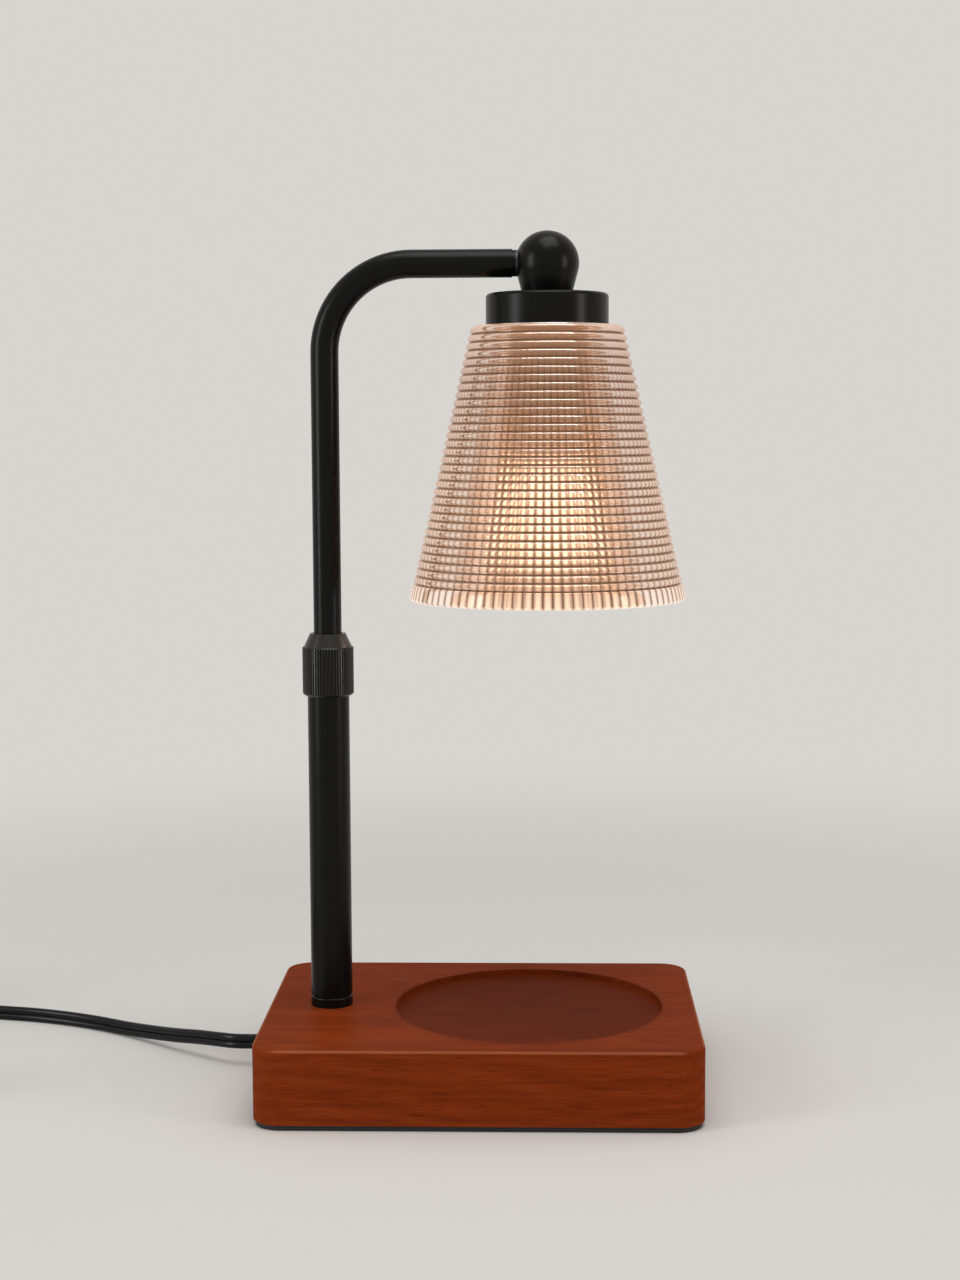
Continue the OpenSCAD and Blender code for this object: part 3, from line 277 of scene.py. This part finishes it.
def glass_finish():
    """Slightly wavy creamy pressed glass that the lamp lights; painted glow, painted shade in its grooves.
    """
    f = Finish("shade_glass", (0.62, 0.34, 0.20), 0.10, Transmission_Weight=0.7, IOR=1.4,
               Specular_IOR_Level=0.1, Emission_Strength=0.16)
    groove = f.node("ShaderNodeAttribute", attribute_name="groove").outputs["Fac"]
    height = f.node("ShaderNodeSeparateXYZ", {0: f.place}).outputs["Z"]
    share = f.math("MULTIPLY_ADD", height, 1 / PAINTED_GLOW_SPAN, -PAINTED_GLOW_LOW / PAINTED_GLOW_SPAN)
    # Painted glow by height: painted glints and a bright lip at the rim, most light where the bulb sits.
    glow = f.ramp(share, [
        (0.012, (4.0, 3.5, 3.0)),
        (0.026, (2.5, 2.0, 1.6)),
        (0.062, (2.1, 1.6, 1.25)),
        (0.080, (1.2, 0.78, 0.52)),
        (0.45, (1.0, 0.62, 0.36)),
        (0.62, (0.55, 0.30, 0.17)),
        (0.9, (0.30, 0.16, 0.09)),
    ])
    # The painted glow is also dark in the grooves, as painted shade.
    f.link(f.mix(groove, glow, (0.16, 0.08, 0.04)), "Emission Color")
    inside = f.node("ShaderNodeAttribute", attribute_name="inside").outputs["Fac"]
    cast = f.mix(f.noise(120, 2, 0.5), (0.66, 0.35, 0.20), (0.74, 0.42, 0.25))
    cast = f.mix(inside, cast, (0.95, 0.85, 0.74))
    # Painted shade: the grooves and the lines between flutes are darker, and less clear below.
    f.link(f.mix(groove, cast, (0.09, 0.04, 0.02)), "Base Color")
    edge_on = f.node("ShaderNodeLayerWeight", {"Blend": 0.5}).outputs["Facing"]
    edge_on = f.math("MULTIPLY", edge_on, edge_on)
    clear = f.math("MULTIPLY", f.spread(inside, 0.68, 1.0), f.spread(edge_on, 1.0, 0.1))
    f.link(f.math("MULTIPLY", clear, f.spread(groove, 1.0, 0.3)), "Transmission Weight")
    f.link(f.bump(f.noise(220, 2, 0.5), 0.00004, 0.25), "Normal")
    f.link(f.spread(f.noise(90, 3, 0.6), 0.06, 0.13), "Roughness")
    return f.material


def glow_finish(name, color, strength, base=(0.9, 0.87, 0.82), stops=()):
    """Something that the lamp lights from inside; stops are (height in m, share of the glow)."""
    f = Finish(name, base, 0.35, Emission_Color=(*color, 1), Emission_Strength=strength)
    f.link(f.mix(f.noise(400, 3, 0.6), tuple(c * 0.9 for c in base), base), "Base Color")
    if stops:
        low, high = stops[0][0], stops[-1][0]
        height = f.node("ShaderNodeSeparateXYZ", {0: f.place}).outputs["Z"]
        share = f.math("MULTIPLY_ADD", height, 1 / (high - low), -low / (high - low))
        band = [((z - low) / (high - low), tuple(c * part for c in color)) for z, part in stops]
        f.link(f.ramp(share, band), "Emission Color")
    return f.material


def paint(material, *names):
    """Gives CAD nodes one material."""
    for name in names:
        piece = nodes[name]
        piece.data.materials.clear()
        piece.data.materials.append(material)
        for face in piece.data.polygons:
            face.material_index = 0


# ---------- mesh helpers ----------

def new_piece(name, points, faces, material, body, smooth_under):
    """A mesh piece that rides on a body, smooth but for edges sharper than smooth_under degrees."""
    mesh = bpy.data.meshes.new(name)
    mesh.from_pydata(points, [], faces)
    mesh.validate()
    mesh.shade_smooth()
    mesh.set_sharp_from_angle(angle=math.radians(smooth_under))
    mesh.materials.append(material)
    piece = bpy.data.objects.new(name, mesh)
    bpy.context.scene.collection.objects.link(piece)
    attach(piece, body)
    return piece


def grid_faces(rows, columns, close_rows=False):
    """Quads of a grid of points that closes on itself along its columns, and along its rows if asked."""
    faces = []
    for i in range(rows if close_rows else rows - 1):
        low, high = i * columns, ((i + 1) % rows) * columns
        for k in range(columns):
            after = (k + 1) % columns
            faces.append((low + k, low + after, high + after, high + k))
    return faces


# ---------- glass shade ----------

HEAD_X = 24 * MM
GLASS_TOP = 273.0 * MM
GLASS_FOOT = 176.3 * MM
TOP_RIB_Z = 271.3 * MM
TOP_RIB_R = 27.5 * MM
FOOT_R = 49.5 * MM
RIB_COUNT = 32
RIB_R = 1.3 * MM
RIB_RISE = 0.8 * MM
RIM_H = 6 * MM
WALL = 2.4 * MM
CEILING_Z = 269.4 * MM
HOLE_R = 15.6 * MM
RIB_STEPS = 6
LIP_STEPS = 4
WALL_STEPS = 16
FLUTE_COUNT = 90
FLUTE_SHARE = 0.013
FLUTE_MEAN = 0.4
# How dark the painted shade line between two flutes is, at each of a flute's columns.
FLUTE_SHADE_LINE = (1, 0.42, 0, 0, 0, 0.42)
FLUTE_STEPS = len(FLUTE_SHADE_LINE)
# On the ribs the painted line stands for the flutes behind; it is fainter, and fades in over the first of
# them.
RIB_SHADE_LINE = 0.8
LINE_FADE_RIBS = 5
# How dark the painted shade in the groove between two ribs is.
RIB_GROOVE_SHADE = 0.85
SLOPE = (FOOT_R - TOP_RIB_R) / (TOP_RIB_Z - GLASS_FOOT)
RIB_PITCH = (TOP_RIB_Z - GLASS_FOOT - RIM_H) / (RIB_COUNT - 0.5)


def over_ribs(z):
    """The cone's radius over its ribs at a height."""
    return TOP_RIB_R + (TOP_RIB_Z - z) * SLOPE


def glass_outline():
    """Points from the hole's edge round the outside and up the inside.

    Each is (radius, height, depth of the flutes, painted groove shade, painted shade of the line between
    flutes).
    """
    line = [(HOLE_R, GLASS_TOP, 0, 0, 0)]
    line.append((over_ribs(TOP_RIB_Z) - RIB_R - 0.4 * MM, GLASS_TOP, 0, 0, 0))
    reach = math.acos(1 - RIB_RISE / RIB_R)
    for i in range(RIB_COUNT):
        z = TOP_RIB_Z - i * RIB_PITCH
        first = math.pi / 2 if i == 0 else reach
        upright = min(1, i / LINE_FADE_RIBS) * RIB_SHADE_LINE
        for k in range(RIB_STEPS + 1):
            a = first + (-reach - first) * k / RIB_STEPS
            groove = RIB_GROOVE_SHADE if k == RIB_STEPS or (k == 0 and i > 0) else 0
            r = over_ribs(z) - RIB_R + RIB_R * math.cos(a)
            line.append((r, z + RIB_R * math.sin(a), 0, groove, upright))
    rim = GLASS_FOOT + RIM_H
    line += [
        (over_ribs(rim) - RIB_RISE, rim, 0, 1, 1),
        (over_ribs(rim - 0.3 * MM) - 0.3 * MM, rim - 0.2 * MM, 0, 0, 1),
        (over_ribs(rim - 0.7 * MM), rim - 0.7 * MM, 0, 0, 1),
    ]
    line += [(over_ribs(z), z, 0, 0, 1) for z in (GLASS_FOOT + 4 * MM, GLASS_FOOT + 2.4 * MM)]
    lip = 1.1 * MM
    for k in range(LIP_STEPS + 1):
        a = math.radians(90 * k / LIP_STEPS)
        r = over_ribs(GLASS_FOOT + lip) - lip + lip * math.cos(a)
        line.append((r, GLASS_FOOT + lip - lip * math.sin(a), 0, 0, 1 - k / LIP_STEPS))
    inner_foot = over_ribs(GLASS_FOOT) - RIB_RISE - WALL
    line += [
        (inner_foot + 0.5 * MM, GLASS_FOOT, 0.4, 0, 0.4),
        (inner_foot, GLASS_FOOT + 0.5 * MM, 0.9, 0, 0.9),
    ]
    low, high = GLASS_FOOT + 1.2 * MM, CEILING_Z - 2 * MM
    for k in range(WALL_STEPS + 1):
        z = low + (high - low) * k / WALL_STEPS
        line.append((over_ribs(z) - RIB_RISE - WALL, z, 1, 0, 1))
    inner_top = over_ribs(CEILING_Z) - RIB_RISE - WALL
    line += [
        (inner_top - 0.6 * MM, CEILING_Z - 0.6 * MM, 0.5, 0, 0.5),
        (inner_top - 2 * MM, CEILING_Z, 0, 0, 0),
        (HOLE_R, CEILING_Z, 0, 0, 0),
    ]
    return line


def make_glass(material):
    """Ribbed outside, plain rim, and fine upright flutes all round the inside."""
    columns = FLUTE_COUNT * FLUTE_STEPS
    line = glass_outline()
    points = []
    grooves = []
    for radius, z, share, groove, upright in line:
        for k in range(columns):
            u = (k % FLUTE_STEPS) / FLUTE_STEPS
            arch = 4 * u * (1 - u)
            r = radius + share * FLUTE_SHARE * radius * (FLUTE_MEAN - arch)
            a = 2 * math.pi * k / columns
            points.append((HEAD_X + r * math.cos(a), r * math.sin(a), z))
            # Painted shade of each point: the darker of its groove and its flute line.
            grooves.append(max(groove, upright * FLUTE_SHADE_LINE[k % FLUTE_STEPS]))
    faces = grid_faces(len(line), columns, close_rows=True)
    glass = new_piece("ribbed_glass_shade", points, faces, material, "head", smooth_under=32)
    inside = [share for _, _, share, _, _ in line for _ in range(columns)]
    glass.data.attributes.new("groove", "FLOAT", "POINT").data.foreach_set("value", grooves)
    glass.data.attributes.new("inside", "FLOAT", "POINT").data.foreach_set("value", inside)
    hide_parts("glass_shade")


# ---------- cords ----------

CORD_W = 5.6 * MM
CORD_T = 2.9 * MM
LOBE_STEPS = 12
LOBE_FROM = -52
LOBE_TURN = 284

# The route in millimetres, as in the construction model.
EXIT_Y = 14.0
EXIT_Z = 9.25
LIE_Z = 2.85
DIMMER_Y = 76.0
COIL_CENTRE = (-296.0, 10.0)
COIL_TURNS = 5.25
COIL_INNER_R = 27.0
COIL_PITCH = 3.5
COIL_LAYER = 6.1
TIE_LIFT = 1.1
COIL_EDGE_X = COIL_CENTRE[0] - COIL_INNER_R - COIL_TURNS / 2 * COIL_PITCH
TAIL_Y = COIL_CENTRE[1] - COIL_INNER_R - COIL_TURNS / 2 * COIL_PITCH
TAIL_Z = LIE_Z + COIL_LAYER

LEAD_ROUTE = [
    (-77.5, EXIT_Y, EXIT_Z), (-86, EXIT_Y, EXIT_Z), (-93, 14.8, 9.1), (-100, 18.6, 8.6),
    (-108, 24.6, 7.6), (-118, 32.2, 6), (-129, 41.2, 4.4), (-141, 50.4, 3.2), (-154, 58.6, 2.9),
    (-168, 65.2, LIE_Z), (-183, 70.2, LIE_Z), (-198, 73.5, LIE_Z), (-206, 74.9, 3.3), (-213, 75.7, 4.8),
    (-220, 76, 7.3), (-227, DIMMER_Y, 9.4), (-233, DIMMER_Y, 10), (-238, DIMMER_Y, 10),
]
RUN_ROUTE = [
    (-302, DIMMER_Y, 10), (-308, DIMMER_Y, 10), (-315.7, 74.5, 9.4), (-322.7, 70.1, 7.6),
    (-328.2, 63.2, 5.2), (-331.8, 54.6, 3.4), (-333, 45, LIE_Z), (-332.7, 34, LIE_Z),
    (COIL_EDGE_X, 24, LIE_Z), (COIL_EDGE_X, COIL_CENTRE[1] + 6, LIE_Z),
]
TAIL_ROUTE = [
    (-290, TAIL_Y, TAIL_Z), (-284, TAIL_Y, TAIL_Z), (-275, TAIL_Y, 8.4), (-267, TAIL_Y, 7.5),
    (-260, TAIL_Y, 7), (-254, TAIL_Y, 7),
]


def coil_point(t):
    """Place on the coil after t turns: spiral in, climb in the middle half turn, spiral out."""
    x = min(1, max(0, (t - COIL_TURNS / 2 + 0.25) / 0.5))
    climb = x * x * (3 - 2 * x)
    a = math.radians(180 + 360 * t)
    r = COIL_INNER_R + COIL_PITCH * abs(t - COIL_TURNS / 2)
    z = LIE_Z + TIE_LIFT * max(0, math.cos(a)) ** 2 + COIL_LAYER * climb
    return (COIL_CENTRE[0] + r * math.cos(a), COIL_CENTRE[1] + r * math.sin(a), z)


def smooth_line(route, step):
    """Points about step apart on a smooth line through the route's points, straight at both ends."""
    route = [Vector(p) for p in route]
    padded = [2 * route[0] - route[1]] + route + [2 * route[-1] - route[-2]]
    line = []
    for i in range(1, len(padded) - 2):
        before, start, end, after = padded[i - 1:i + 3]
        chord = (end - start).length
        count = max(1, round(chord / step))
        leave = (end - before) / (chord + (start - before).length) * chord
        arrive = (after - start) / ((after - end).length + chord) * chord
        for k in range(count):
            s = k / count
            s2, s3 = s * s, s * s * s
            point = (2 * s3 - 3 * s2 + 1) * start + (s3 - 2 * s2 + s) * leave
            line.append(point + (3 * s2 - 2 * s3) * end + (s3 - s2) * arrive)
    line.append(route[-1])
    return line


def cord_outline():
    """Outline of the flat cord's section, (across, along) it: two round lobes and a groove on both sides."""
    lobe = CORD_T / 2
    centre = CORD_W / 2 - lobe
    groove = 0.66 * MM
    outline = []
    for sign in (1, -1):
        for k in range(LOBE_STEPS + 1):
            a = math.radians(LOBE_FROM + LOBE_TURN * k / LOBE_STEPS)
            outline.append((sign * lobe * math.cos(a), sign * (centre + lobe * math.sin(a))))
        outline.append((-sign * groove, 0))
    return outline


def sweep(name, line, turns, material):
    """Twin-lobed cord along a line of points in metres; turns, in degrees, lean it from upright to flat."""
    outline = cord_outline()
    points = []
    for i, place in enumerate(line):
        ahead = (line[min(i + 1, len(line) - 1)] - line[max(i - 1, 0)]).normalized()
        side = Vector((0, 0, 1)).cross(ahead).normalized()
        up = ahead.cross(side)
        turn = math.radians(turns[i])
        for across, along in outline:
            a = across * math.cos(turn) - along * math.sin(turn)
            b = across * math.sin(turn) + along * math.cos(turn)
            points.append(tuple(place + side * a + up * b))
    faces = grid_faces(len(line), len(outline))
    faces.append(tuple(reversed(range(len(outline)))))
    faces.append(tuple(range((len(line) - 1) * len(outline), len(line) * len(outline))))
    return new_piece(name, points, faces, material, "base", smooth_under=60)


def make_cords(material):
    """The cord from the base to the dimmer, and from the dimmer through the coil to the plug."""
    step = 2.2
    lead = [p * MM for p in smooth_line(LEAD_ROUTE, step)]
    lead_piece = sweep("flat_cord_lead", lead, [0] * len(lead), material)
    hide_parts("cord_lead")

    steps_per_turn = 84
    count = round(COIL_TURNS * steps_per_turn)
    coil = [Vector(coil_point(k / steps_per_turn)) for k in range(count + 1)]
    run = smooth_line(RUN_ROUTE, step)
    straight = smooth_line([RUN_ROUTE[-1], coil_point(0)], step)
    tail = smooth_line(TAIL_ROUTE, step)
    between = Vector(TAIL_ROUTE[0]) * 0.5 + coil[-1] * 0.5
    line = run[:-1] + straight[:-1] + coil + [between] + tail
    lean = [0] * (len(line) - len(tail)) + [90 * k / (len(tail) - 1) for k in range(len(tail))]
    line = [p * MM for p in line]
    long_piece = sweep("flat_cord_to_plug", line, lean, material)
    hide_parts("cord_run", "cord_coil", "cord_tail")


# ---------- stage and light ----------

FLOOR_COLOR = srgb(214, 211, 207)
BACKDROP_COLOR = srgb(216, 213, 209)
FLOOR_HALF = 6.0
# The floor turns into the backdrop between these distances from the origin.
FADE_FROM = 0.22
FADE_TO = 0.75


def make_stage():
    """A pale floor that fades into an even pale backdrop, which the camera, gloss and glass see too."""
    mesh = bpy.data.meshes.new("floor")
    corners = [(x * FLOOR_HALF, y * FLOOR_HALF, 0) for x, y in ((-1, -1), (1, -1), (1, 1), (-1, 1))]
    mesh.from_pydata(corners, [], [(0, 1, 2, 3)])
    floor = bpy.data.objects.new("floor", mesh)
    bpy.context.scene.collection.objects.link(floor)
    f = Finish("floor", FLOOR_COLOR, 0.8, Specular_IOR_Level=0.1)
    f.link(f.mix(f.noise(3, 3, 0.5), tuple(c * 0.98 for c in FLOOR_COLOR), FLOOR_COLOR), "Base Color")
    far = f.node("ShaderNodeVectorMath", {0: f.place}, operation="LENGTH").outputs["Value"]
    far = f.ramp(far, [(FADE_FROM, 0.0), (FADE_TO, 1.0)], "EASE")
    glow = f.node("ShaderNodeEmission", {"Color": (*BACKDROP_COLOR, 1)})
    blend = f.node("ShaderNodeMixShader")
    seen = seen_directly(f.tree)
    share = f.math("MULTIPLY", far, seen)
    f.tree.links.new(share, blend.inputs[0])
    f.tree.links.new(f.shader.outputs[0], blend.inputs[1])
    f.tree.links.new(glow.outputs[0], blend.inputs[2])
    f.tree.links.new(blend.outputs[0], f.tree.nodes["Material Output"].inputs["Surface"])
    mesh.materials.append(f.material)

    world = bpy.data.worlds.new("studio")
    world.use_nodes = True
    tree = world.node_tree
    light = tree.nodes["Background"]
    light.inputs["Color"].default_value = (1, 1, 1, 1)
    light.inputs["Strength"].default_value = 0.45
    wall = tree.nodes.new("ShaderNodeBackground")
    wall.inputs["Color"].default_value = (*BACKDROP_COLOR, 1)
    wall.inputs["Strength"].default_value = 1.0
    blend = tree.nodes.new("ShaderNodeMixShader")
    tree.links.new(seen_directly(tree), blend.inputs[0])
    tree.links.new(light.outputs[0], blend.inputs[1])
    tree.links.new(wall.outputs[0], blend.inputs[2])
    tree.links.new(blend.outputs[0], tree.nodes["World Output"].inputs["Surface"])
    bpy.context.scene.world = world


def seen_directly(tree):
    """1 for rays from the camera, from gloss and through glass, 0 for the rays that light the object."""
    seen = tree.nodes.new("ShaderNodeLightPath")
    share = seen.outputs["Is Camera Ray"]
    for kind in ("Is Glossy Ray", "Is Transmission Ray"):
        either = tree.nodes.new("ShaderNodeMath")
        either.operation = "MAXIMUM"
        tree.links.new(share, either.inputs[0])
        tree.links.new(seen.outputs[kind], either.inputs[1])
        share = either.outputs[0]
    return share


def area_light(name, place, aim, size, power, color=(1, 1, 1)):
    """A soft box at a place, which points at aim."""
    data = bpy.data.lights.new(name, "AREA")
    data.shape = "RECTANGLE"
    data.size, data.size_y = size
    data.energy = power
    data.color = color
    light = bpy.data.objects.new(name, data)
    direction = Vector(aim) - Vector(place)
    light.matrix_world = Matrix.Translation(place) @ direction.to_track_quat("-Z", "Y").to_matrix().to_4x4()
    bpy.context.scene.collection.objects.link(light)


def make_lights():
    """Soft boxes overhead, at the left and, weaker, at the right: the three highlights on the ball."""
    area_light("overhead", (0.12, -0.25, 1.45), (0, 0, 0.1), (0.9, 0.9), 9.5)
    area_light("left", (-1.15, -0.62, 0.42), (0, 0, 0.2), (0.35, 0.9), 6.5)
    area_light("right", (1.15, -0.50, 0.30), (0, 0, 0.2), (0.22, 0.7), 3.6, (1.0, 0.90, 0.80))


# ---------- the whole ----------

make_camera()
make_stage()
make_lights()

cord_pvc = plastic_finish("cord_pvc", (0.006, 0.006, 0.007), 0.24, grain=900, depth=0.00002,
                          Specular_IOR_Level=0.2)
make_cords(cord_pvc)

black_metal = black_metal_finish("black_metal", 0.003, 0.24, 0.31, 0.13)
knurled_metal = black_metal_finish("knurled_metal", 0.004, 0.20, 0.26, 0.5)
zinc = plated_finish("zinc_steel", (0.58, 0.59, 0.60), 0.34)
holder_metal = plated_finish("holder_metal", (0.10, 0.105, 0.105), 0.45)
brass = plated_finish("contact_brass", (0.72, 0.52, 0.24), 0.3)
rubber = plastic_finish("pad_rubber", (0.014, 0.014, 0.014), 0.75, grain=1200, depth=0.0001)
nylon = plastic_finish("white_nylon", (0.78, 0.78, 0.74), 0.45)
black_plastic = plastic_finish("black_plastic", (0.016, 0.016, 0.017), 0.42, grain=2200,
                               depth=0.00005)
board = plastic_finish("board_green", (0.03, 0.17, 0.08), 0.4)
ceramic = plastic_finish("ceramic", (0.80, 0.79, 0.75), 0.25, grain=500, depth=0.00002)
warm = (1.0, 0.90, 0.84)
reflector_glow = glow_finish("reflector_glow", warm, 3.0, stops=(
    (0.187, 0.55), (0.197, 0.95), (0.212, 1.0), (0.224, 0.8), (0.232, 0.35), (0.238, 0.12)))
lens_glow = glow_finish("lens_glow", warm, 3.0, base=(1, 1, 1))
capsule_glow = glow_finish("capsule_glow", (1.0, 0.82, 0.58), 8.0, base=(1, 1, 1))

paint(wood_finish(), "wood_base")
paint(black_metal, "foot_ring", "lower_tube", "arm_tube", "pivot_neck", "ball_knuckle", "shade_cap")
paint(knurled_metal, "lock_collar")
paint(zinc, "bottom_plate", "plate_screws", "tube_plug", "post_stud", "post_washer", "post_nut",
      "tube_ferrule", "clamp_screw", "pivot_clip", "head_stud", "head_nut", "insert_screws", "bulb_pins",
      "dimmer_screws")
paint(holder_metal, "lamp_holder", "shade_ring")
paint(brass, "socket_contacts", "plug_blades")
paint(rubber, "base_pad", "cord_tie")
paint(nylon, "clamp_sleeve", "guide_bush", "shade_gasket")
paint(black_plastic, "neck_washer", "cord_clamp", "dimmer_case_lower", "dimmer_case_upper", "dimmer_pot",
      "dimmer_wheel")
paint(cord_pvc, "strain_relief", "cord_in_base", "cord_in_post", "cord_in_arm", "cord_in_head", "plug_body")
paint(board, "dimmer_board")
paint(ceramic, "socket_insert", "bulb_base")
paint(reflector_glow, "bulb_reflector")
paint(lens_glow, "bulb_lens")
paint(capsule_glow, "bulb_capsule")
make_glass(glass_finish())

bpy.context.scene.view_settings.view_transform = "Standard"
